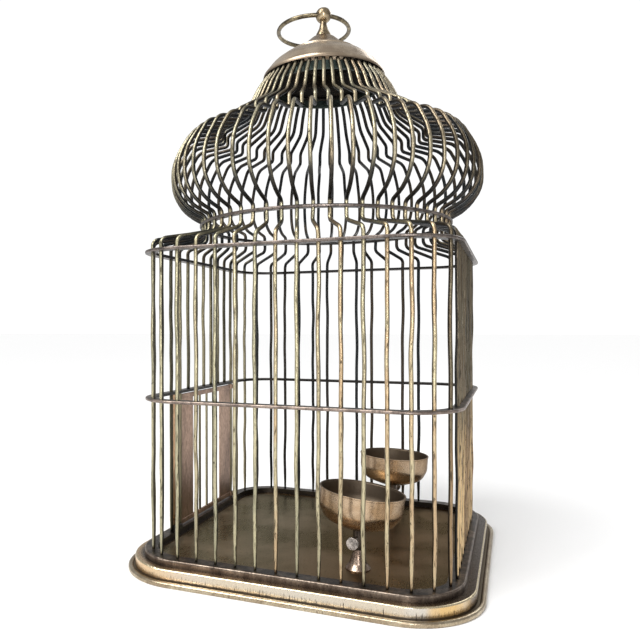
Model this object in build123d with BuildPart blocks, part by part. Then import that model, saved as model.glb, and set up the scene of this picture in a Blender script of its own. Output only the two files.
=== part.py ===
"""Brass bird cage with an onion dome, standing on a stepped base pan.

Millimetres, +Z up, origin at the middle of the base underside, front wall at -Y.
"""
from build123d import *
from math import cos, pi, radians, sin
import os

os.makedirs("parts", exist_ok=True)

# ---------------------------------------------------------------- driving sizes
wall_half = 151.0          # plan: middle of the cage to the wire centre line of a wall
corner_r = 46.0            # plan radius of the wire centre line at each corner
wire_count = 56            # upright wires round the cage
wire_phase = -0.15         # first wire, in wire spacings, from the middle of the front
wire_d = 4.0
tip_d = 2.4                # the wire ends are pointed where they enter the bottom ring
tip_length = 26.0
fit_gap = 0.05             # radial play of a wire in its hole

bead_h = 5.0               # rolled bead round the foot of the pan
bead_out = 24.5            # bead outside face, beyond the wire line
pan_out = 17.5             # pan wall outside face, beyond the wire line
deck_z = 14.5
sheet = 1.2
floor_in = 9.0             # edge of the deck opening, inside the wire line
ring_out = 8.0             # bottom ring, beyond and inside the wire line
ring_in = 5.5
ring_top = 20.2

band_out = 7.2             # flat girdle rings, beyond and inside the wire line
band_in = 3.6
band_t = 3.0
mid_z = 170.0              # undersides of the girdle rings
shoulder_z = 318.2
waist_z = shoulder_z + 34.8
waist_r = 134.3

brim_r = 67.4
brim_z = shoulder_z + 200.8
brim_top = brim_z + 29.3   # where the dome of the crown sits on the brim
cap_top = brim_top + 19.9
ball_z = cap_top + 23.8
ball_r = 8.7

dome_phase = -0.2          # turn of the dome wires, in wire spacings
crown_phase = -0.55        # turn of their upper ends
crown_end_r = brim_r - 0.95 - 0.6125 * wire_d    # leaves the sloping wire clear of the brim
# radius, and height above the shoulder ring, of each bend
shoulder_bend, waist_bend = 12.8, 23.8
dome_path = ((waist_r, 43.3), (167.0, 59.0), (167.0, 101.8), (148.5, 131.8), (113.0, 136.6),
             (113.0, 148.8))
crown_path = ((84.5, 164.8), (75.0, 184.8), (crown_end_r, 200.4))
dome_bends = (7, 7, 6, 38, 50, 16, 4, 6, 16, 24)

ring_turn = 32.0           # heading of the cross hole, degrees from +X
hang_r = 41.2              # hang ring centre line
hang_d = 4.8

door_bottom = ring_top + 1.3
door_top = mid_z - 1.4
door_first, door_last = 39, 44   # wires that stop above the door opening
leaf_gap = 1.0             # play between the door leaf and its front jamb wire

cup_r = 40.75
cup_rim_z = 88.7
# each cup: plan position, side its screw points to, lean of the bowl in degrees
cup_places = {"front": (60.0, -(wall_half - 56.4), -1, 7.0), "rear": (60.0, wall_half - 53.2, 1, 2.5)}


# ---------------------------------------------------------------- shared shapes
straight = wall_half - corner_r
quarter = 2 * straight + pi / 2 * corner_r
pitch = 4 * quarter / wire_count


def plan_point(number):
    """Plan position of an upright, counted anticlockwise from the middle of the front."""
    run = (number + wire_phase) * pitch % (4 * quarter)
    side, run = divmod(run + quarter / 2, quarter)
    run -= quarter / 2
    if abs(run) <= straight:
        x, y = run, -wall_half
    else:
        turn = (abs(run) - straight) / corner_r
        x = (straight + corner_r * sin(turn)) * (1 if run > 0 else -1)
        y = -straight - corner_r * cos(turn)
    for _ in range(int(side)):
        x, y = -y, x
    return x, y


def heading(number, phase):
    return radians(360 * (number + phase) / wire_count - 90)


uprights = [plan_point(k) for k in range(wire_count)]


def wire_run(number, start_z):
    """Corner points of one wire, from its foot to its end under the crown."""
    x, y = uprights[number]
    points = [(x, y, start_z), (x, y, shoulder_z + shoulder_bend)]
    bends = ((waist_r, waist_bend), *dome_path)
    for phase, path in ((dome_phase, bends), (crown_phase, crown_path)):
        turn = heading(number, phase)
        points += [(r * cos(turn), r * sin(turn), shoulder_z + rise) for r, rise in path]
    return points


def square_ring(outer, inner, z, height):
    """Flat rounded-square ring; outer and inner are measured from the wire line."""
    with BuildSketch(Plane.XY.offset(z)) as face:
        side = 2 * (wall_half + outer)
        RectangleRounded(side, side, corner_r + outer)
        side = 2 * (wall_half - inner)
        RectangleRounded(side, side, corner_r - inner, mode=Mode.SUBTRACT)
    return extrude(face.sketch, amount=height)


def shell_face(outer, inner, bend):
    """Half section of a spun shell, from its outside and inside corner points."""
    with BuildSketch(Plane.XZ) as face:
        with BuildLine():
            out = FilletPolyline(*outer, radius=bend)
            back = FilletPolyline(*inner, radius=bend)
            Line(out @ 0, back @ 0)
            Line(out @ 1, back @ 1)
        make_face()
    return face.sketch


def save(part, name):
    part.label = name
    export_step(part, f"parts/{name}.step")


# ---------------------------------------------------------------- base
pins = [(s * (wall_half + 1.5), t * 70, 0) for s in (-1, 1) for t in (-1, 1)]
cups = [(x, y, 0) for x, y, _, _ in cup_places.values()]
rivet_head, rivet_d = 9.6, 3.0
rivet_in = corner_r - floor_in - rivet_head / 2 - 0.577
rivet_spot = (straight + rivet_in * cos(radians(55.305)), -straight - rivet_in * sin(radians(55.305)))
stud_d = 4.0

with BuildPart() as base_pan:
    skirt_z = 2.2
    side = 2 * (wall_half + pan_out)
    with BuildSketch(Plane.XY.offset(skirt_z)):
        RectangleRounded(side, side, corner_r + pan_out)
    extrude(amount=deck_z - skirt_z)
    fillet(base_pan.faces().sort_by(Axis.Z)[-1].outer_wire().edges(), 1.6)
    with BuildSketch(Plane.XY.offset(skirt_z)):
        inside = side - 2 * sheet
        RectangleRounded(inside, inside, corner_r + pan_out - sheet)
    extrude(amount=deck_z - skirt_z - sheet, mode=Mode.SUBTRACT)
    add(square_ring(20.2, -pan_out + sheet, skirt_z, sheet))
    with BuildSketch(Plane.XY.offset(deck_z)):
        inside = 2 * (wall_half - floor_in)
        RectangleRounded(inside, inside, corner_r - floor_in)
        with Locations(*pins):
            Circle(1.6)
    extrude(amount=-2 * sheet, mode=Mode.SUBTRACT)
save(base_pan.part, "base_pan")

with BuildPart() as base_rim_bead:
    add(square_ring(bead_out, -19.5, 0, bead_h))
    fillet(base_rim_bead.edges().filter_by_position(Axis.Z, bead_h - 0.1, bead_h), 2.2)
    fillet(base_rim_bead.edges().filter_by_position(Axis.Z, 0, 0.1), 1.4)
    add(square_ring(20.2, -19.0, 2.2, sheet), mode=Mode.SUBTRACT)
save(base_rim_bead.part, "base_rim_bead")

floor_z = deck_z - sheet
with BuildPart() as floor_plate:
    with BuildSketch(Plane.XY.offset(floor_z)):
        side = 2 * (wall_half - 3)
        RectangleRounded(side, side, corner_r - 3)
        with Locations(*cups):
            Circle(stud_d / 2 + fit_gap, mode=Mode.SUBTRACT)
        with Locations(rivet_spot):
            Circle(rivet_d / 2 + fit_gap, mode=Mode.SUBTRACT)
    extrude(amount=-1.6)
save(floor_plate.part, "floor_plate")

with BuildPart() as floor_rivet:
    with Locations((*rivet_spot, floor_z)):
        Cylinder(rivet_head / 2, 2.2, align=(Align.CENTER, Align.CENTER, Align.MIN))
        Cylinder(rivet_d / 2, 2.2, align=(Align.CENTER, Align.CENTER, Align.MAX))
    fillet(floor_rivet.edges().group_by(Axis.Z)[-1], 1.8)
save(floor_rivet.part, "floor_rivet")

with BuildPart() as cup_stand_nuts:
    with BuildSketch(Plane.XY.offset(floor_z - 1.6)):
        with Locations(*cups):
            RegularPolygon(4.2, 6)
            Circle(stud_d / 2 + fit_gap, mode=Mode.SUBTRACT)
    extrude(amount=-3)
save(cup_stand_nuts.part, "cup_stand_nuts")


# ---------------------------------------------------------------- cage rings
with BuildPart() as bottom_ring:
    add(square_ring(ring_out, ring_in, deck_z, ring_top - deck_z))
    fillet(bottom_ring.faces().sort_by(Axis.Z)[-1].outer_wire().edges(), 1.6)
    with BuildSketch(Plane.XY.offset(ring_top)):
        for number, spot in enumerate(uprights):
            if not door_first <= number <= door_last:
                with Locations(spot):
                    Circle(tip_d / 2 + 0.2)
    extrude(amount=-3, mode=Mode.SUBTRACT)
    with BuildSketch(Plane.XY.offset(deck_z)):
        with Locations(*pins):
            Circle(1.5)
    extrude(amount=3, mode=Mode.SUBTRACT)
save(bottom_ring.part, "bottom_ring")

with BuildPart() as locating_pins:
    with Locations(*[(x, y, deck_z - 2.6) for x, y, _ in pins]):
        Cylinder(1.5, 5.6, align=(Align.CENTER, Align.CENTER, Align.MIN))
save(locating_pins.part, "locating_pins")

for name, z in (("mid_ring", mid_z), ("shoulder_ring", shoulder_z)):
    with BuildPart() as girdle:
        add(square_ring(band_out, band_in, z, band_t))
        fillet(girdle.faces().sort_by(Axis.Z)[-1].outer_wire().edges(), 1.0)
        fillet(girdle.faces().sort_by(Axis.Z)[0].outer_wire().edges(), 1.0)
        with BuildSketch(Plane.XY.offset(z)):
            with Locations(*uprights):
                Circle(wire_d / 2 + fit_gap)
        extrude(amount=band_t, mode=Mode.SUBTRACT)
    save(girdle.part, name)

with BuildPart() as waist_ring:
    with BuildSketch(Plane.XY.offset(waist_z)):
        Circle(waist_r + 4)
        Circle(waist_r - 4, mode=Mode.SUBTRACT)
    extrude(amount=band_t)
    fillet(waist_ring.edges(), 0.9)
    with BuildSketch(Plane.XY.offset(waist_z)):
        turns = [heading(k, dome_phase) for k in range(wire_count)]
        with Locations(*[(waist_r * cos(t), waist_r * sin(t)) for t in turns]):
            Circle(wire_d / 2 + fit_gap)
    extrude(amount=band_t, mode=Mode.SUBTRACT)
save(waist_ring.part, "waist_ring")


# ---------------------------------------------------------------- wires
wire_groups = {
    "front_wires": range(-6, 7),
    "right_wires": range(7, 22),
    "rear_wires": range(22, 35),
    "left_rear_wires": range(35, door_first),
    "door_head_wires": range(door_first, door_last + 1),
    "left_front_wires": range(door_last + 1, 50),
}
tip_z = ring_top - 3

for name, numbers in wire_groups.items():
    over_door = name == "door_head_wires"
    with BuildPart() as wires:
        for number in numbers:
            start = mid_z if over_door else tip_z + tip_length
            with BuildLine() as run:
                FilletPolyline(*wire_run(number, start), radius=dome_bends)
            with BuildSketch(Plane(origin=run.line @ 0, z_dir=(0, 0, 1))):
                Circle(wire_d / 2)
            sweep(path=run.line)
            if not over_door:
                x, y = uprights[number]
                with Locations((x, y, tip_z)):
                    Cone(tip_d / 2, wire_d / 2, tip_length,
                         align=(Align.CENTER, Align.CENTER, Align.MIN))
    save(wires.part, name)


# ---------------------------------------------------------------- crown and finial
with BuildPart() as crown_ring:
    with BuildSketch(Plane.XY.offset(brim_z - 10)):
        outside = crown_end_r + 0.65 - 0.6125 * wire_d
        Circle(outside)
        Circle(outside - 3.2, mode=Mode.SUBTRACT)
    extrude(amount=8.4)
save(crown_ring.part, "crown_ring")

with BuildPart() as crown_brim:
    outer = ((brim_r, 0), (brim_r, 3), (brim_r - 10.2, 15.8), (45.5, 24.6), (39, 26.2),
             (39, 29.3), (30, 29.3))
    inner = ((brim_r - 1.2, 0), (brim_r - 1.2, 2.6), (brim_r - 11.1, 15.0), (45, 23.5),
             (37.8, 25.2), (37.8, 28.1), (30, 28.1))
    outer, inner = ([(r, brim_z + rise) for r, rise in side] for side in (outer, inner))
    revolve(shell_face(outer, inner, (5, 35, 8, 0.4, 0.5)), axis=Axis.Z)
save(crown_brim.part, "crown_brim")

with BuildPart() as crown_dome:
    outer = ((36.4, 0), (36.4, 1.1), (24.5, 7.3), (13.5, 17.3), (9, 19.9), (2.7, 19.9))
    inner = ((35.2, 0), (35.2, 0.4), (23.8, 6.3), (12.9, 16.2), (8.6, 18.7), (2.7, 18.7))
    outer, inner = ([(r, brim_top + rise) for r, rise in side] for side in (outer, inner))
    revolve(shell_face(outer, inner, (0.3, 14, 6, 0.5)), axis=Axis.Z)
save(crown_dome.part, "crown_dome")

with BuildPart() as finial_stem:
    low = cap_top - 8.2
    spigot = ((8.2, cap_top), (2.6, cap_top), (2.6, low), (0, low), (0, ball_z - 6.9))
    flare = ((3.6, ball_z - 6.9), (3.6, ball_z - 9), (5.0, ball_z - 15), (8.2, cap_top + 2.3),
             (8.2, cap_top))
    with BuildSketch(Plane.XZ):
        with BuildLine():
            Polyline(*spigot, flare[0])
            FilletPolyline(*flare, radius=(10, 14, 1))
        make_face()
    revolve(axis=Axis.Z)
save(finial_stem.part, "finial_stem")

with BuildPart() as finial_nut:
    with BuildSketch(Plane.XY.offset(cap_top - sheet)):
        RegularPolygon(5.6, 6)
        Circle(2.65, mode=Mode.SUBTRACT)
    extrude(amount=-4)
save(finial_nut.part, "finial_nut")

turn = radians(ring_turn)
with BuildPart() as finial_ball:
    with Locations((0, 0, ball_z)):
        Sphere(ball_r)
    for side in (-1, 1):
        with Locations((0, 0, ball_z + side * 9.9)):
            Box(20, 20, 6, mode=Mode.SUBTRACT)
    fillet(finial_ball.edges().filter_by(GeomType.CIRCLE), 0.8)
    with BuildSketch(Plane(origin=(0, 0, ball_z), z_dir=(cos(turn), sin(turn), 0))):
        Circle(hang_d / 2 + 0.8)
    extrude(amount=10, both=True, mode=Mode.SUBTRACT)
save(finial_ball.part, "finial_ball")

reach = hang_r - 0.5
with BuildPart() as hang_ring:
    with Locations((-reach * sin(turn), reach * cos(turn), ball_z)):
        Torus(hang_r, hang_d / 2)
save(hang_ring.part, "hang_ring")


# ---------------------------------------------------------------- side door
jamb_y = uprights[door_last + 1][1] + wire_d / 2
hinge_y = uprights[door_first - 1][1]
leaf_front = jamb_y + leaf_gap
leaf_rear = hinge_y - 3.7
rail_h = 5.4
wall_x = -wall_half
stile_low, stile_high = door_bottom + rail_h, door_top - rail_h
for name, y0, y1 in (("door_front_stile", leaf_front, leaf_front + 28),
                     ("door_rear_stile", leaf_rear - 32, leaf_rear)):
    with BuildPart() as stile:
        with Locations((wall_x, (y0 + y1) / 2, (stile_low + stile_high) / 2)):
            Box(1.2, y1 - y0, stile_high - stile_low)
    save(stile.part, name)

for name, z in (("door_top_rail", stile_high), ("door_bottom_rail", door_bottom)):
    with BuildPart() as rail:
        with Locations((wall_x, (leaf_front + leaf_rear) / 2, z + rail_h / 2)):
            Box(2.4, leaf_rear - leaf_front, rail_h)
        fillet(rail.edges().filter_by(Axis.Y), 0.5)
    save(rail.part, name)

with BuildPart() as door_bars:
    gap_middle = (leaf_front + 28 + leaf_rear - 32) / 2
    with Locations(*[(wall_x, gap_middle + s * 18.5, stile_low) for s in (-1, 0, 1)]):
        Cylinder(wire_d / 2 - 0.5, stile_high - stile_low,
                 align=(Align.CENTER, Align.CENTER, Align.MIN))
save(door_bars.part, "door_bars")

with BuildPart() as door_knuckles:
    for z in (door_bottom, stile_high):
        with BuildSketch(Plane.XY.offset(z)):
            with Locations((wall_x, hinge_y)):
                Circle(3.6)
                Circle(wire_d / 2 + fit_gap, mode=Mode.SUBTRACT)
        extrude(amount=rail_h)
save(door_knuckles.part, "door_knuckles")


# ---------------------------------------------------------------- door latch
strip_y = uprights[door_last + 2][1] + wire_d / 2 + 0.1
pivot_y, pivot_z = strip_y + 6.5, ring_top + 12.8
with BuildPart() as latch_strip:
    with Locations((wall_x, strip_y + 5.5, (ring_top + mid_z) / 2)):
        Box(1.2, 11, mid_z - ring_top)
    with Locations(Location((wall_x, pivot_y, pivot_z), (0, 90, 0))):
        Cylinder(1.55, 4, mode=Mode.SUBTRACT)
save(latch_strip.part, "latch_strip")

with BuildPart() as latch_block:
    with Locations((wall_x + 3.6, strip_y + 5.5, ring_top + 2.8)):
        Box(6, 12, 5.6)
    fillet(latch_block.edges().group_by(Axis.Z)[-1], 0.8)
save(latch_block.part, "latch_block")

with BuildPart() as latch_pivot:
    with Locations(Location((wall_x - 3.8, pivot_y, pivot_z), (0, 90, 0))):
        Cylinder(1.5, 4.6, align=(Align.CENTER, Align.CENTER, Align.MIN))
        Cylinder(2.8, 3.1, align=(Align.CENTER, Align.CENTER, Align.MIN))
    with Locations(Location((wall_x + 0.7, pivot_y, pivot_z), (0, 90, 0))):
        Cylinder(3.6, 3, align=(Align.CENTER, Align.CENTER, Align.MIN))
    fillet(latch_pivot.edges().group_by(Axis.X)[-1], 1.2)
save(latch_pivot.part, "latch_pivot")

arm_x = wall_x - 3.8
keeper_y = leaf_front + 5
arm_length = keeper_y - pivot_y + 14
with BuildPart() as latch_arm:
    with Locations((arm_x - 0.6, pivot_y, pivot_z + arm_length / 2 - 5)):
        Box(1.2, 7, arm_length)
    fillet(latch_arm.edges().filter_by(Axis.X), 3)
save(latch_arm.part, "latch_arm")

with BuildPart() as door_keeper:
    with Locations(Location((wall_x - 0.6, keeper_y, pivot_z), (0, -90, 0))):
        Cylinder(2, 3, align=(Align.CENTER, Align.CENTER, Align.MIN))
save(door_keeper.part, "door_keeper")


# ---------------------------------------------------------------- seed and water cups
bowl_depth = 36.2
bowl_base = cup_rim_z - bowl_depth
socket_z, socket_d = bowl_base - 20.5, 9.2
post_d, post_top = 6.0, socket_z + 14
screw_z = socket_z + 12
screw_d, screw_reach = 3.0, 22.0
screw_back = 0.6           # the screw tip stands off the post, so the cup lifts freely
knob_d = 11.5
bowl_outer = ((0, 0), (14, 0), (cup_r - 6.75, 7.5), (cup_r - 0.9, 19), (cup_r - 0.4, bowl_depth - 1.6),
              (cup_r, bowl_depth - 1.2), (cup_r, bowl_depth))
bowl_inner = ((0, 1.2), (13.6, 1.2), (cup_r - 7.75, 8.4), (cup_r - 2.1, 19.4),
              (cup_r - 1.6, bowl_depth - 1.6), (cup_r - 1.4, bowl_depth - 1.2),
              (cup_r - 1.4, bowl_depth))
foot = ((0, floor_z), (12, floor_z), (12, floor_z + 1.2), (8.6, floor_z + 5.7),
        (4.8, socket_z - 2.5), (4.4, socket_z - 0.2), (post_d / 2, socket_z - 0.2),
        (post_d / 2, post_top), (0, post_top))

for place, (cx, cy, way, cup_tilt) in cup_places.items():
    across = Plane(origin=(cx, cy, screw_z), z_dir=(0, way, 0))
    tilt = radians(cup_tilt)
    lean = (sin(tilt) * 0.93, sin(tilt) * 0.37, cos(tilt))

    with BuildPart() as bowl:
        revolve(shell_face(bowl_outer, bowl_inner, (26, 14, 16, 0.1, 0.1)), axis=Axis.Z)
    save(Plane(origin=(cx, cy, bowl_base), z_dir=lean) * bowl.part, f"{place}_cup_bowl")

    with BuildPart() as socket:
        with Locations((cx, cy, socket_z)):
            Cylinder(socket_d / 2, 22, align=(Align.CENTER, Align.CENTER, Align.MIN))
        split(bisect_by=Plane(origin=(cx, cy, bowl_base), z_dir=lean), keep=Keep.BOTTOM)
        with Locations((cx, cy, socket_z)):
            Cylinder(post_d / 2 + fit_gap, post_top + 0.3 - socket_z, mode=Mode.SUBTRACT,
                     align=(Align.CENTER, Align.CENTER, Align.MIN))
        with BuildSketch(across):
            Circle(screw_d / 2 + fit_gap)
        extrude(amount=socket_d, mode=Mode.SUBTRACT)
    save(socket.part, f"{place}_cup_socket")

    with BuildPart() as stand:
        with BuildSketch(Plane.XZ):
            with BuildLine():
                FilletPolyline(*foot, radius=(0.4, 0.4, 5, 9, 0.1, 0.1, 0.4))
                Line(foot[-1], foot[0])
            make_face()
        revolve(axis=Axis.Z)
        with Locations((0, 0, floor_z)):
            Cylinder(stud_d / 2, 6.5, align=(Align.CENTER, Align.CENTER, Align.MAX))
    save(Location((cx, cy, 0)) * stand.part, f"{place}_cup_stand")

    with BuildPart() as screw:
        with BuildSketch(across.offset(post_d / 2 + screw_back)):
            Circle(screw_d / 2)
        extrude(amount=screw_reach - post_d / 2 - screw_back + 0.1)
        with BuildSketch(across.offset(screw_reach)):
            Circle(knob_d / 2)
        extrude(amount=2.2)
        with BuildSketch(across.offset(screw_reach + 2.2)):
            Circle(knob_d / 2 - 0.9)
        extrude(amount=-0.6, mode=Mode.SUBTRACT)
        fillet(screw.edges().filter_by(GeomType.CIRCLE).filter_by(lambda e: e.radius > 5), 0.3)
    save(screw.part, f"{place}_cup_screw")
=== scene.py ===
"""Looks of the brass bird cage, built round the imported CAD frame. Metres, +Z up, front wall at -Y."""

import random
from math import acos, cos, pi, radians, sin, tan

import bpy
from mathutils import Matrix, Vector


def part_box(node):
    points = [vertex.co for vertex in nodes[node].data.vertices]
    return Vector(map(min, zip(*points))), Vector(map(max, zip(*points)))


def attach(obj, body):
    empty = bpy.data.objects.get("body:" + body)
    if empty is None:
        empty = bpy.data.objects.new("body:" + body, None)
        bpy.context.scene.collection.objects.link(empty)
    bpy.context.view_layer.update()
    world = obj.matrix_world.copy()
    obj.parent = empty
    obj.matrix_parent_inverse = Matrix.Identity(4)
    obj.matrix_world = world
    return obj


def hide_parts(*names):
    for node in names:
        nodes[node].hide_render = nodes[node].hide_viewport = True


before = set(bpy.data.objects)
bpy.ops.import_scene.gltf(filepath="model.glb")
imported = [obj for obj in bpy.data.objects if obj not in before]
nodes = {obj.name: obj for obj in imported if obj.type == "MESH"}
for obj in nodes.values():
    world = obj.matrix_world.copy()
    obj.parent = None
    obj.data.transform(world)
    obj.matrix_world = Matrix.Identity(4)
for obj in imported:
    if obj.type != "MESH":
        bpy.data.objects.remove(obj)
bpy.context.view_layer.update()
MM = 0.001
BAND_OUT = 7.2                        # girdle rings, beyond the wire line, mm
SHEET = 0.0012                        # metres
NARROWING = 0.8                       # how the pointed wire ends thicken
SHOULDER = (0.325, 0.345)             # metres; the square walls turn into the round dome here
SQUARE_WALLS = (0.33, 0.31)

# ---------------------------------------------------------------- sizes shared with the CAD source, in mm
WALL_HALF = (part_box("mid_ring")[1].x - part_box("mid_ring")[0].x) / 2 / MM - BAND_OUT
CORNER_R = 46.0
WIRES = 56
WIRE_PHASE = -0.15
DOME_PHASE = -0.2
CROWN_PHASE = -0.55
WIRE_R = 2.0
TIP_R = 1.2
TIP_LENGTH = 26.0
TIP_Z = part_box("bottom_ring")[1].z / MM - 3
MID_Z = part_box("mid_ring")[0].z / MM
SHOULDER_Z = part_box("shoulder_ring")[0].z / MM
WAIST_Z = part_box("waist_ring")[0].z / MM
WAIST_R = 134.3
DOME_PATH = ((134.3, 361.5), (167.0, 377.2), (167.0, 420.0), (148.5, 450.0),
             (113.0, 454.8), (113.0, 467.0))
CROWN_PATH = ((84.5, 483.0), (75.0, 503.0), (64.0, 518.6))
BENDS = (7, 7, 6, 38, 50, 16, 4, 6, 16, 24)
SHOULDER_BEND_Z = 331.0
WAIST_BEND_Z = 342.0
STRAIGHT_FOOT = (38, 45, 46)          # wires the door hangs on and shuts against
WIRE_GROUPS = {
    "front_wires": range(-6, 7),
    "right_wires": range(7, 22),
    "rear_wires": range(22, 35),
    "left_rear_wires": range(35, 39),
    "door_head_wires": range(39, 45),
    "left_front_wires": range(45, 50),
}


# ---------------------------------------------------------------- wire centre lines
straight = WALL_HALF - CORNER_R
quarter = 2 * straight + pi / 2 * CORNER_R
pitch = 4 * quarter / WIRES


def plan_point(number):
    """Plan position of an upright, counted anticlockwise from the middle of the front."""
    run = (number + WIRE_PHASE) * pitch % (4 * quarter)
    side, run = divmod(run + quarter / 2, quarter)
    run -= quarter / 2
    if abs(run) <= straight:
        x, y = run, -WALL_HALF
    else:
        turn = (abs(run) - straight) / CORNER_R
        x = (straight + CORNER_R * sin(turn)) * (1 if run > 0 else -1)
        y = -straight - CORNER_R * cos(turn)
    for _ in range(int(side)):
        x, y = -y, x
    return x, y


def wire_corners(number, start_z):
    """Corner points of one wire, from its foot to its end under the crown."""
    x, y = plan_point(number)
    points = [(x, y, start_z), (x, y, SHOULDER_BEND_Z)]
    bends = ((WAIST_R, WAIST_BEND_Z), *DOME_PATH)
    for phase, path in ((DOME_PHASE, bends), (CROWN_PHASE, CROWN_PATH)):
        turn = radians(360 * (number + phase) / WIRES - 90)
        points += [(r * cos(turn), r * sin(turn), z) for r, z in path]
    return [Vector(p) for p in points]


def rounded(corners, radii, step):
    """Points along straight runs joined by arcs, no further apart than step on the runs."""
    line = [corners[0]]
    for before, at, after, radius in zip(corners, corners[1:], corners[2:], radii):
        a, b = (at - before).normalized(), (after - at).normalized()
        angle = acos(max(-1, min(1, a.dot(b))))
        reach = radius * tan(angle / 2)
        start, end = at - a * reach, at + b * reach
        side = (b - a * a.dot(b)).normalized()
        centre = start + side * radius
        count = max(2, round(angle / radians(9)))
        line.append(start)
        for k in range(1, count):
            t = angle * k / count
            line.append(centre + (a * sin(t) - side * cos(t)) * radius)
        line.append(end)
    line.append(corners[-1])
    fine = [line[0]]
    for a, b in zip(line, line[1:]):
        parts = max(1, int((b - a).length / step + 0.999))
        fine += [a.lerp(b, k / parts) for k in range(1, parts + 1)]
    return fine


BAND_MIDDLE = 1.5
CROWN_GRIP_Z = 517.0
RING_Z = (TIP_Z + 2, MID_Z + BAND_MIDDLE, SHOULDER_Z + BAND_MIDDLE, WAIST_Z + BAND_MIDDLE, CROWN_GRIP_Z)
NECK_Z = 450.0                        # wires are more even above this height


def freedom(z):
    """How far a wire may stray at height z: none at the rings, all of it midway between them."""
    for low, high in zip(RING_Z, RING_Z[1:]):
        if low < z < high:
            t = (z - low) / (high - low)
            return min(1, 3.2 * t) * min(1, 3.2 * (1 - t))
    return 0


def wander(rng, reach):
    """A smooth random function of length along the wire."""
    waves = [(rng.uniform(0.2, 0.6) * reach, 2 * pi / rng.uniform(40, 95), rng.uniform(0, 2 * pi)),
             (rng.uniform(0.5, 1.0) * reach, 2 * pi / rng.uniform(110, 260), rng.uniform(0, 2 * pi))]
    return lambda s: sum(a * sin(k * s + p) for a, k, p in waves)


def hand_made(line, number, rng):
    """Strays each point of a wire a little, as hand-straightened wire does."""
    over, out = wander(rng, 0.62), wander(rng, 0.5)
    moved, run = [], 0
    for k, p in enumerate(line):
        run += (p - line[k - 1]).length if k else 0
        free = freedom(p.z)
        if number in STRAIGHT_FOOT and p.z < MID_Z + 2:
            free = 0
        if p.z > NECK_Z:
            free *= 0.45
        radial = Vector((p.x, p.y, 0)).normalized()
        along = Vector((-radial.y, radial.x, 0))
        moved.append(p + (along * over(run) + radial * out(run)) * free)
    return moved


def tube(line, radii, sides):
    """Vertices and faces of a closed tube that follows line, in metres."""
    verts, faces = [], []
    up = Vector((1, 0, 0))
    for k, p in enumerate(line):
        along = (line[min(k + 1, len(line) - 1)] - line[max(k - 1, 0)]).normalized()
        up = (up - along * up.dot(along)).normalized()
        other = along.cross(up)
        for j in range(sides):
            t = 2 * pi * j / sides
            verts.append((p + (up * cos(t) + other * sin(t)) * radii[k]) * MM)
    for k in range(len(line) - 1):
        for j in range(sides):
            n = (j + 1) % sides
            faces.append((k * sides + j, k * sides + n, (k + 1) * sides + n, (k + 1) * sides + j))
    faces.append(tuple(reversed(range(sides))))
    last = (len(line) - 1) * sides
    faces.append(tuple(last + j for j in range(sides)))
    return verts, faces


def piece(name, verts, faces):
    mesh = bpy.data.meshes.new(name)
    mesh.from_pydata([tuple(v) for v in verts], [], faces)
    mesh.validate()
    for face in mesh.polygons:
        face.use_smooth = True
    obj = bpy.data.objects.new(name, mesh)
    bpy.context.scene.collection.objects.link(obj)
    return obj


def joined(parts):
    """One list of vertices and faces from several."""
    verts, faces = [], []
    for v, f in parts:
        faces += [tuple(i + len(verts) for i in face) for face in f]
        verts += v
    return verts, faces


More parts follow.
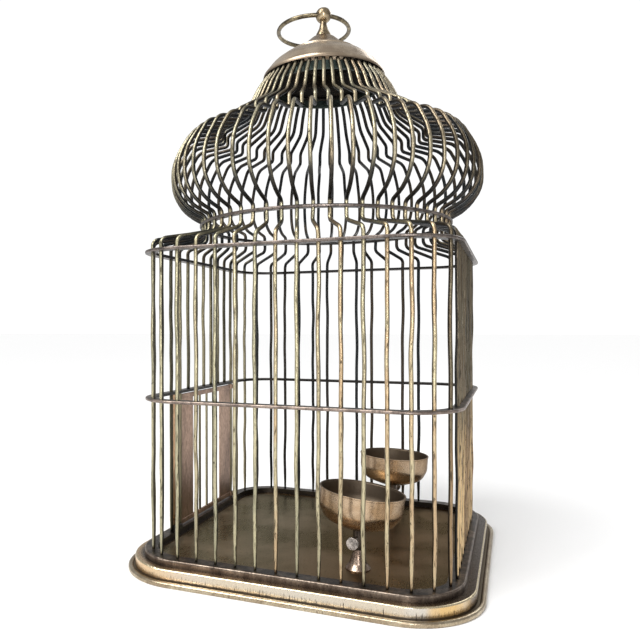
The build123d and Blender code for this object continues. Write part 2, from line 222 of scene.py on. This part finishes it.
# ---------------------------------------------------------------- material building
class Sheet:
    """One node material; each method adds a node and returns its output socket."""

    def __init__(self, name):
        self.mat = bpy.data.materials.new(name)
        self.mat.use_nodes = True
        self.tree = self.mat.node_tree
        self.tree.nodes.clear()
        self.out = self.tree.nodes.new("ShaderNodeOutputMaterial")
        self.bsdf = self.tree.nodes.new("ShaderNodeBsdfPrincipled")
        self.tree.links.new(self.bsdf.outputs["BSDF"], self.out.inputs["Surface"])
        self.place = self.tree.nodes.new("ShaderNodeTexCoord").outputs["Object"]
        self.normal = self.tree.nodes.new("ShaderNodeNewGeometry").outputs["Normal"]

    def put(self, socket, value):
        if isinstance(value, bpy.types.NodeSocket):
            self.tree.links.new(value, socket)
        else:
            socket.default_value = value

    def math(self, kind, a, b=0.0):
        node = self.tree.nodes.new("ShaderNodeMath")
        node.operation = kind
        self.put(node.inputs[0], a)
        self.put(node.inputs[1], b)
        return node.outputs[0]

    def vector(self, kind, a, b=(0, 0, 0)):
        node = self.tree.nodes.new("ShaderNodeVectorMath")
        node.operation = kind
        self.put(node.inputs[0], a)
        if kind == "SCALE":
            self.put(node.inputs["Scale"], b)
        else:
            self.put(node.inputs[1], b)
        return node.outputs["Value" if kind in ("DOT_PRODUCT", "LENGTH") else "Vector"]

    def split(self, vector):
        node = self.tree.nodes.new("ShaderNodeSeparateXYZ")
        self.put(node.inputs[0], vector)
        return node.outputs

    def join(self, x, y, z):
        node = self.tree.nodes.new("ShaderNodeCombineXYZ")
        for socket, value in zip(node.inputs, (x, y, z)):
            self.put(socket, value)
        return node.outputs[0]

    def noise(self, scale, detail=3.0, stretch=(1, 1, 1), place=None, shift=0.0):
        place = self.vector("MULTIPLY", self.place if place is None else place, stretch)
        if shift:
            place = self.vector("ADD", place, (shift, shift, shift))
        node = self.tree.nodes.new("ShaderNodeTexNoise")
        self.put(node.inputs["Vector"], place)
        node.inputs["Scale"].default_value = scale
        node.inputs["Detail"].default_value = detail
        node.inputs["Roughness"].default_value = 0.6
        return node.outputs["Fac"]

    def step(self, value, low, high, to_low=0.0, to_high=1.0):
        node = self.tree.nodes.new("ShaderNodeMapRange")
        node.interpolation_type = "SMOOTHSTEP"
        self.put(node.inputs["Value"], value)
        keys = ("From Min", "From Max", "To Min", "To Max")
        for key, number in zip(keys, (low, high, to_low, to_high)):
            node.inputs[key].default_value = number
        return node.outputs["Result"]

    def mix(self, factor, a, b):
        node = self.tree.nodes.new("ShaderNodeMix")
        node.data_type, node.blend_type = "RGBA", "MIX"
        self.put(node.inputs["Factor"], factor)
        colours = [s for s in node.inputs if s.type == "RGBA"]
        for socket, value in zip(colours, (a, b)):
            self.put(socket, value if isinstance(value, bpy.types.NodeSocket) else (*value, 1))
        return [s for s in node.outputs if s.type == "RGBA"][0]

    def corner_reach(self):
        """Distance from the straight part of the rounded-square plan, in metres."""
        flat = self.vector("MULTIPLY", self.place, (1, 1, 0))
        side = self.vector("ABSOLUTE", flat)
        side = self.vector("SUBTRACT", side, (straight * MM, straight * MM, 0))
        side = self.vector("MAXIMUM", side, (0, 0, 0))
        return self.vector("LENGTH", side)

    def outward(self, middle=(0, 0, 0), square=True):
        """1 where the surface faces out of the cage, -1 where it faces in."""
        flat = self.vector("MULTIPLY", self.vector("SUBTRACT", self.place, middle), (1, 1, 0))
        way = self.vector("NORMALIZE", flat)
        if square:
            side = self.vector("ABSOLUTE", flat)
            side = self.vector("SUBTRACT", side, (straight * MM, straight * MM, 0))
            side = self.vector("MAXIMUM", side, (0, 0, 0))
            side = self.vector("NORMALIZE", self.vector("MULTIPLY", side, self.vector("SIGN", flat)))
            high = self.step(self.split(self.place)[2], *SHOULDER)
            way = self.vector("ADD", self.vector("SCALE", way, high),
                              self.vector("SCALE", side, self.math("SUBTRACT", 1.0, high)))
        return self.vector("DOT_PRODUCT", self.normal, way)

    def finish(self, colour, rough, height=None, depth=0.0, metallic=1.0, tint=1.0):
        self.bsdf.inputs["Specular Tint"].default_value = (tint, tint, tint, 1)
        self.put(self.bsdf.inputs["Base Color"], colour)
        self.put(self.bsdf.inputs["Roughness"], rough)
        self.bsdf.inputs["Metallic"].default_value = metallic
        if height is not None:
            bump = self.tree.nodes.new("ShaderNodeBump")
            bump.inputs["Strength"].default_value = 1.0
            bump.inputs["Distance"].default_value = depth
            self.put(bump.inputs["Height"], height)
            self.put(self.bsdf.inputs["Normal"], bump.outputs["Normal"])
        return self.mat


def brass(name, worn, aged, dark, rough=(0.28, 0.5), scale=60, grain=(1, 1, 1), speck=0.5,
          inner=None, seam=None, spun=False, depth=0.00012):
    """Patinated brass: worn and aged tones, dark specks along the grain, and painted shade on the side
    that faces into the cage.

    seam is the height in metres of a dark line, spun makes the grain run round the Z axis.
    """
    s = Sheet(name)
    place = None
    if spun:
        x, y, z = s.split(s.place)
        place = s.join(s.vector("LENGTH", s.join(x, y, 0.0)), 0.0, z)
    tone = s.step(s.noise(scale, 4, grain), 0.36, 0.64)
    colour = s.mix(tone, aged, worn)
    fine = s.noise(900, 3, grain, place)
    colour = s.mix(s.step(fine, 0.35, 0.65, 0.0, 0.35), colour, dark)
    flecks = s.step(s.noise(520, 4, grain, shift=3.7), 0.60, 0.70, 0.0, speck)
    blotch = s.step(s.noise(150, 3, grain, shift=8.1), 0.56, 0.72, 0.0, speck * 0.7)
    dark_marks = s.math("MAXIMUM", flecks, blotch)
    # painted shade: the side facing into the cage takes the inner colour
    if inner is not None:
        facing = s.math("ADD", s.outward(), s.math("MULTIPLY", s.math("SUBTRACT", tone, 0.5), 0.3))
        colour = s.mix(s.step(facing, -0.25, 0.45), inner, colour)
    if seam is not None:
        off = s.math("ABSOLUTE", s.math("SUBTRACT", s.split(s.place)[2], seam))
        dark_marks = s.math("MAXIMUM", dark_marks, s.step(off, 0.0022, 0.0008, 0.0, 0.75))
    colour = s.mix(dark_marks, colour, dark)
    level = s.math("ADD", s.math("MULTIPLY", fine, 0.5), s.math("MULTIPLY", dark_marks, 0.35))
    roughness = s.step(level, 0.15, 0.6, *rough)
    return s.finish(colour, roughness, fine, depth)


def wire_brass():
    """Wire with its own tone per wire, bright on the faces turned out of the cage, with painted shade on
    the faces turned in and turned down; the right wall is painted dark above, part patina and part
    painted shade.
    """
    s = Sheet("wire_brass")
    grain = (1, 1, 0.12)
    across, _, high = s.split(s.place)
    each = s.noise(46, 0, (1, 1, 0.02), shift=5.3)
    length = s.noise(22, 3, (1, 1, 1), shift=1.9)
    warm = s.math("ADD", s.math("MULTIPLY", across, 1.6), each)
    colour = s.mix(s.step(warm, 0.36, 0.72), (0.40, 0.38, 0.26), (0.60, 0.43, 0.26))
    colour = s.mix(s.step(length, 0.38, 0.66, 0.0, 0.8), colour, (0.64, 0.58, 0.38))
    colour = s.mix(s.step(high, 0.33, 0.40, 0.0, 0.5), colour, (0.34, 0.31, 0.24))
    # right wall: orange-gold strips low down and dark above; the dark is part patina and part painted
    # shade
    right = s.step(across, 0.138, 0.150)
    shade = s.step(s.math("ADD", high, s.math("MULTIPLY", length, 0.06)), 0.12, 0.22)
    strip = s.step(s.noise(90, 0, (1, 1, 0.02), shift=2.6), 0.42, 0.58)
    right_patina_and_shade = s.mix(shade, s.mix(strip, (0.30, 0.18, 0.09), (0.80, 0.56, 0.29)),
                 s.mix(strip, (0.040, 0.033, 0.026), (0.15, 0.12, 0.085)))
    colour = s.mix(s.math("MULTIPLY", right, 0.9), colour, right_patina_and_shade)
    fine = s.noise(1500, 3, grain)
    flecks = s.step(s.noise(700, 4, grain, shift=2.2), 0.53, 0.66, 0.0, 0.85)
    spots = s.step(s.noise(420, 2, (1, 1, 0.5), shift=9.4), 0.66, 0.72, 0.0, 0.9)
    dark_marks = s.math("MAXIMUM", flecks, spots)
    colour = s.mix(s.math("MULTIPLY", fine, 0.5), colour, (0.17, 0.145, 0.09))
    colour = s.mix(dark_marks, colour, (0.055, 0.045, 0.03))
    # painted shade: faces turned into the cage take the dark inside colour, a little lighter on the left
    # wall
    sway = s.math("MULTIPLY", s.math("SUBTRACT", length, 0.5), 0.5)
    facing = s.math("ADD", s.outward(), sway)
    inside = s.mix(s.step(each, 0.4, 0.6), (0.026, 0.029, 0.031), (0.060, 0.048, 0.036))
    other = s.step(s.noise(120, 0, (1, 1, 0.02), shift=7.1), 0.42, 0.6)
    left = s.mix(other, (0.07, 0.065, 0.045), (0.26, 0.23, 0.15))
    left_wall = s.math("MULTIPLY", s.step(across, -0.13, -0.148), s.step(high, *SQUARE_WALLS))
    inside = s.mix(left_wall, inside, left)
    colour = s.mix(s.step(facing, 0.0, 0.75), inside, colour)
    # painted shade on faces turned downwards
    down = s.step(s.split(s.normal)[2], -0.08, -0.5, 0.0, 0.93)
    colour = s.mix(down, colour, (0.022, 0.023, 0.025))
    rough = s.step(s.math("ADD", fine, dark_marks), 0.3, 1.2, 0.30, 0.62)
    return s.finish(colour, rough, fine, 0.00018)


wire_mat = wire_brass()

# ---------------------------------------------------------------- wires
WIRE_SEED = 56
WIRE_STEP = 7.0                       # spacing of the points along a wire, mm
WIRE_SIDES = 10
rng = random.Random(WIRE_SEED)
for group, numbers in WIRE_GROUPS.items():
    parts = []
    for number in numbers:
        over_door = group == "door_head_wires"
        start = MID_Z if over_door else TIP_Z
        line = rounded(wire_corners(number, start), BENDS, WIRE_STEP)
        line = hand_made(line, number, rng)
        swell = wander(rng, 0.05)
        radii = []
        for p in line:
            full = WIRE_R + swell(p.z)
            if not over_door and p.z < TIP_Z + TIP_LENGTH:
                t = max(0, p.z - TIP_Z) / TIP_LENGTH
                full = TIP_R + (full - TIP_R) * t ** NARROWING
            radii.append(min(full, WIRE_R + 0.02))
        parts.append(tube(line, radii, WIRE_SIDES))
    obj = piece(group + "_drawn", *joined(parts))
    obj.data.materials.append(wire_mat)
    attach(obj, "cage")
    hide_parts(group)


# ---------------------------------------------------------------- carried-over CAD nodes
def paint(material, *names):
    for name in names:
        mesh = nodes[name].data
        mesh.materials.clear()
        mesh.materials.append(material)


def pan_brass():
    """Gilt left end, silvery front and gold patches towards the right, all painted reflections on the
    wall; a right side painted dark, part patina and part painted shade; a dark deck with painted shade
    next to the bottom ring, paler towards the left end and with a pale line along its edge; painted shade
    along the foot of the wall.
    """
    s = Sheet("pan_brass")
    reach = s.corner_reach()
    x, _, z = s.split(s.place)
    # painted reflections along the wall: silvery in the middle, gold at the left end, gold patches
    # towards the right
    side = s.step(s.noise(9, 2, (1, 1, 0.2), shift=4.0), 0.35, 0.65)
    wall = s.mix(side, (0.60, 0.58, 0.55), (0.64, 0.56, 0.44))
    warm = s.step(x, -0.05, -0.16)
    wall = s.mix(warm, wall, (0.74, 0.52, 0.30))
    patches = s.step(s.noise(24, 2, (1, 1, 0.2), shift=9.0), 0.45, 0.6)
    gold = s.math("MULTIPLY", s.step(x, 0.10, 0.13), patches)
    wall = s.mix(gold, wall, (0.70, 0.48, 0.22))
    # right side of the wall painted dark: part patina, part painted shade
    patches = s.step(s.noise(30, 2, (1, 1, 0.3)), 0.25, 0.5, 0.5, 1.0)
    right_patina_and_shade = s.math("MULTIPLY", s.step(x, 0.158, 0.168), patches)
    wall = s.mix(right_patina_and_shade, wall, (0.11, 0.075, 0.05))
    edge = s.mix(s.step(x, 0.02, -0.12), (0.24, 0.175, 0.11), (0.62, 0.45, 0.28))
    # the deck is painted darkest next to the bottom ring: painted shade of the ring
    deck = s.mix(s.step(reach, 0.0550, 0.0612), (0.10, 0.072, 0.048), edge)
    # right side of the deck painted dark: part patina, part painted shade, like the wall
    deck = s.mix(s.step(x, 0.145, 0.160), deck, (0.075, 0.054, 0.038))
    up = s.math("MAXIMUM", s.step(s.split(s.normal)[2], 0.35, 0.85), s.step(reach, 0.056, 0.052))
    colour = s.mix(up, wall, deck)
    rim = s.math("MULTIPLY", s.step(reach, 0.0617, 0.0624), s.step(s.split(s.normal)[2], 0.1, 0.5))
    colour = s.mix(rim, colour, (0.66, 0.56, 0.38))
    ticks = s.step(s.noise(1500, 2, (1, 1, 0.05), shift=6.0), 0.58, 0.66)
    height = s.math("ADD", 0.0062, s.math("MULTIPLY", s.noise(160, 2, (1, 1, 0.02), shift=2.0), 0.006))
    low = s.step(s.math("SUBTRACT", z, height), 0.0012, -0.0012)
    dark_marks = s.math("MULTIPLY", ticks, low)
    # painted shade: a ragged dark band along the foot of the wall, where it meets the bead; the specks
    # around it are tarnish
    ragged = s.math("MULTIPLY", s.noise(240, 3, (1, 1, 0.3)), 0.0016)
    foot = s.step(s.math("ADD", z, ragged), 0.0068, 0.0058)
    dark_marks = s.math("MAXIMUM", dark_marks, s.math("MULTIPLY", foot, 0.85))
    fine = s.noise(1300, 3, (1, 1, 0.2))
    specks = s.step(s.noise(600, 4, shift=7.7), 0.62, 0.72, 0.0, 0.45)
    dark_marks = s.math("MAXIMUM", dark_marks, specks)
    colour = s.mix(dark_marks, colour, (0.05, 0.035, 0.025))
    rough = s.step(s.math("ADD", fine, dark_marks), 0.3, 1.3, 0.24, 0.55)
    return s.finish(colour, rough, fine, 0.00008)


def floor_brass():
    """Dull floor with a painted reflection that makes it paler towards the door side."""
    s = Sheet("floor_brass")
    broad = s.step(s.noise(14, 4, (1, 1, 1), shift=3.0), 0.35, 0.65)
    bright = s.mix(broad, (0.42, 0.37, 0.26), (0.54, 0.46, 0.34))
    deep = s.mix(broad, (0.26, 0.20, 0.125), (0.36, 0.265, 0.175))
    # painted reflection: the floor is paler towards the door side, at the left
    colour = s.mix(s.step(s.split(s.place)[0], 0.05, -0.09), deep, bright)
    specks = s.step(s.noise(500, 4), 0.55, 0.72, 0.0, 0.6)
    colour = s.mix(specks, colour, (0.16, 0.13, 0.085))
    fine = s.noise(900, 3, (1, 0.15, 1))
    rough = s.step(s.math("ADD", s.math("MULTIPLY", broad, 0.5), fine), 0.3, 1.2, 0.24, 0.42)
    return s.finish(colour, rough, fine, 0.00004, tint=0.3)


# the inner colours of the rings are painted shade for their faces turned into the cage
band = brass("band_brass", (0.40, 0.32, 0.27), (0.19, 0.15, 0.13), (0.04, 0.033, 0.029),
             rough=(0.32, 0.55), scale=90, grain=(1, 1, 0.4), speck=0.7, inner=(0.035, 0.032, 0.030))
foot_band = brass("foot_band_brass", (0.28, 0.225, 0.18), (0.13, 0.10, 0.08), (0.03, 0.025, 0.022),
                  rough=(0.3, 0.55), scale=110, grain=(1, 1, 0.6), speck=0.7, inner=(0.05, 0.043, 0.038))
paint(band, "mid_ring")
paint(brass("upper_band_brass", (0.27, 0.225, 0.20), (0.125, 0.105, 0.095), (0.03, 0.026, 0.024),
            rough=(0.34, 0.55), scale=90, grain=(1, 1, 0.4), speck=0.7, inner=(0.035, 0.033, 0.032)),
      "shoulder_ring", "waist_ring")
paint(foot_band, "bottom_ring")
paint(pan_brass(), "base_pan")
paint(brass("bead_brass", (0.60, 0.52, 0.38), (0.40, 0.32, 0.22), (0.09, 0.06, 0.04), rough=(0.26, 0.5),
            scale=26, grain=(1, 1, 0.5), speck=0.6), "base_rim_bead")
paint(floor_brass(), "floor_plate")
# the crown's inner colour is painted shade for its faces turned into the cage
crown = brass("crown_brass", (0.72, 0.59, 0.44), (0.50, 0.39, 0.28), (0.12, 0.085, 0.06),
              rough=(0.26, 0.45), scale=40, speck=0.4, inner=(0.012, 0.011, 0.010),
              seam=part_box("crown_brim")[0].z, spun=True)
paint(crown, "crown_brim")
paint(brass("crown_dome_brass", (0.62, 0.50, 0.37), (0.38, 0.29, 0.21), (0.10, 0.07, 0.05),
            rough=(0.26, 0.45), scale=50, speck=0.4, seam=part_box("crown_dome")[0].z + SHEET,
            spun=True), "crown_dome")
gold = brass("finial_brass", (0.48, 0.38, 0.24), (0.20, 0.155, 0.10), (0.045, 0.035, 0.024),
             rough=(0.2, 0.45), scale=120, speck=0.6)
paint(gold, "finial_stem", "finial_ball", "latch_pivot")
paint(brass("hang_ring_brass", (0.30, 0.25, 0.16), (0.11, 0.09, 0.06), (0.03, 0.024, 0.016),
            rough=(0.22, 0.48), scale=110, speck=0.7), "hang_ring")
paint(brass("rivet_brass", (0.92, 0.84, 0.68), (0.7, 0.58, 0.42), (0.2, 0.15, 0.1), rough=(0.2, 0.4),
            scale=200, speck=0.3), "floor_rivet")
hidden = brass("hidden_brass", (0.10, 0.09, 0.07), (0.05, 0.05, 0.045), (0.02, 0.02, 0.02),
               rough=(0.5, 0.7))
paint(hidden, "finial_nut", "locating_pins", "cup_stand_nuts")
paint(brass("crown_ring_brass", (0.075, 0.10, 0.09), (0.035, 0.045, 0.04), (0.01, 0.012, 0.01),
            rough=(0.5, 0.7), scale=90), "crown_ring")
door = brass("door_brass", (0.56, 0.38, 0.28), (0.33, 0.22, 0.165), (0.06, 0.045, 0.036),
             rough=(0.32, 0.55), scale=45, grain=(1, 1, 0.25), speck=0.6)
paint(door, "door_front_stile", "door_rear_stile", "door_top_rail", "door_bottom_rail", "door_knuckles",
      "door_keeper", "latch_arm")
paint(brass("strip_brass", (0.86, 0.54, 0.30), (0.62, 0.38, 0.22), (0.10, 0.07, 0.05), rough=(0.3, 0.5),
            scale=60, grain=(1, 1, 0.2), speck=0.4), "latch_strip")
paint(brass("block_brass", (0.10, 0.09, 0.08), (0.05, 0.05, 0.05), (0.02, 0.02, 0.02),
            rough=(0.4, 0.6)),
      "latch_block")
paint(wire_mat, "door_bars")


def cup_brass(name, node):
    """Bronze bowl, rougher inside and darker there with painted shade; node says whose middle the inside
    faces.
    """
    low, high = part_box(node)
    s = Sheet(name)
    tone = s.step(s.noise(38, 4), 0.36, 0.64)
    colour = s.mix(tone, (0.36, 0.235, 0.13), (0.50, 0.37, 0.25))
    fine = s.noise(1100, 3)
    specks = s.step(s.noise(420, 4, shift=3.0), 0.60, 0.72, 0.0, 0.5)
    # painted shade on the inside of the bowl
    inner = s.step(s.outward(((low.x + high.x) / 2, (low.y + high.y) / 2, 0), square=False), 0.1, -0.1)
    colour = s.mix(s.math("MULTIPLY", inner, 0.8), colour, (0.12, 0.10, 0.08))
    colour = s.mix(specks, colour, (0.08, 0.058, 0.04))
    rough = s.step(s.math("ADD", fine, s.math("ADD", specks, inner)), 0.35, 1.6, 0.26, 0.46)
    return s.finish(colour, rough, fine, 0.00005, tint=0.6)


for place in ("front", "rear"):
    paint(cup_brass(place + "_cup_brass", place + "_cup_bowl"), place + "_cup_bowl")
paint(brass("cup_stand_brass", (0.50, 0.38, 0.30), (0.26, 0.185, 0.14), (0.05, 0.035, 0.03),
            rough=(0.22, 0.42), scale=120, speck=0.6), "front_cup_stand", "rear_cup_stand")
paint(brass("cup_socket_brass", (0.14, 0.11, 0.09), (0.07, 0.055, 0.045), (0.03, 0.025, 0.02),
            rough=(0.3, 0.5), scale=120), "front_cup_socket", "rear_cup_socket")
paint(brass("cup_screw_brass", (0.62, 0.55, 0.50), (0.28, 0.25, 0.23), (0.07, 0.06, 0.05),
            rough=(0.2, 0.42), scale=260, speck=0.6), "front_cup_screw", "rear_cup_screw")

# ---------------------------------------------------------------- floor, light and camera
FLOOR_REACH = 30                      # metres
corners = [(x * FLOOR_REACH, y * FLOOR_REACH, 0) for x, y in ((-1, -1), (1, -1), (1, 1), (-1, 1))]
ground = piece("studio_floor", corners, [(0, 1, 2, 3)])
s = Sheet("studio_floor_paint")
ground.data.materials.append(s.finish((0.92, 0.92, 0.92, 1), 0.9, metallic=0.0))

scene = bpy.context.scene
world = bpy.data.worlds.new("studio_world")
scene.world = world
world.use_nodes = True
sky = world.node_tree.nodes["Background"]
seen = world.node_tree.nodes.new("ShaderNodeLightPath").outputs["Is Camera Ray"]
shade = world.node_tree.nodes.new("ShaderNodeMapRange")
SKY_LIGHT, SKY_SEEN = 0.5, 1.05
shade.inputs["To Min"].default_value, shade.inputs["To Max"].default_value = SKY_LIGHT, SKY_SEEN
world.node_tree.links.new(seen, shade.inputs["Value"])
world.node_tree.links.new(shade.outputs["Result"], sky.inputs["Strength"])
sky.inputs["Color"].default_value = (1, 1, 1, 1)


def soft_box(name, place, aim, size, power, colour=(1, 1, 1)):
    """Area light at place that shines at aim."""
    light = bpy.data.lights.new(name, "AREA")
    light.shape, light.size, light.size_y = "RECTANGLE", *size
    light.energy, light.color = power, colour
    obj = bpy.data.objects.new(name, light)
    obj.location = place
    obj.rotation_euler = (Vector(aim) - Vector(place)).to_track_quat("-Z", "Y").to_euler()
    scene.collection.objects.link(obj)


soft_box("key_box", (-1.1, -1.6, 1.5), (0, 0, 0.25), (0.7, 1.1), 16, (1, 0.97, 0.92))
soft_box("front_box", (0.60, -1.9, 0.55), (0, 0, 0.25), (0.35, 0.9), 12)
soft_box("back_box", (0.6, 1.7, 1.6), (0, 0, 0.3), (1.0, 1.0), 8)
day = bpy.data.lights.new("day", "SUN")
day.energy, day.angle = 2.4, radians(40)
day_lamp = bpy.data.objects.new("day", day)
day_lamp.rotation_euler = (radians(38), 0, radians(-30))
scene.collection.objects.link(day_lamp)

camera = bpy.data.cameras.new("camera")
camera.sensor_width = 36
camera.lens = 36.67
camera.shift_x = 0.1075
camera.shift_y = 0.0193
camera.clip_start = 0.05
eye = bpy.data.objects.new("camera", camera)
scene.collection.objects.link(eye)
yaw, lift, roll = -0.3833, -0.0049, -0.0015
forward = Vector((sin(yaw) * cos(lift), cos(yaw) * cos(lift), sin(lift)))
right = Vector((cos(yaw), -sin(yaw), 0))
upward = right.cross(forward)
turned = (right * cos(roll) + upward * sin(roll), upward * cos(roll) - right * sin(roll), -forward)
EYE = (0.1978, -0.7078, 0.2416)
eye.matrix_world = Matrix.Translation(EYE) @ Matrix(turned).transposed().to_4x4()
scene.camera = eye
scene.view_settings.view_transform = "Standard"
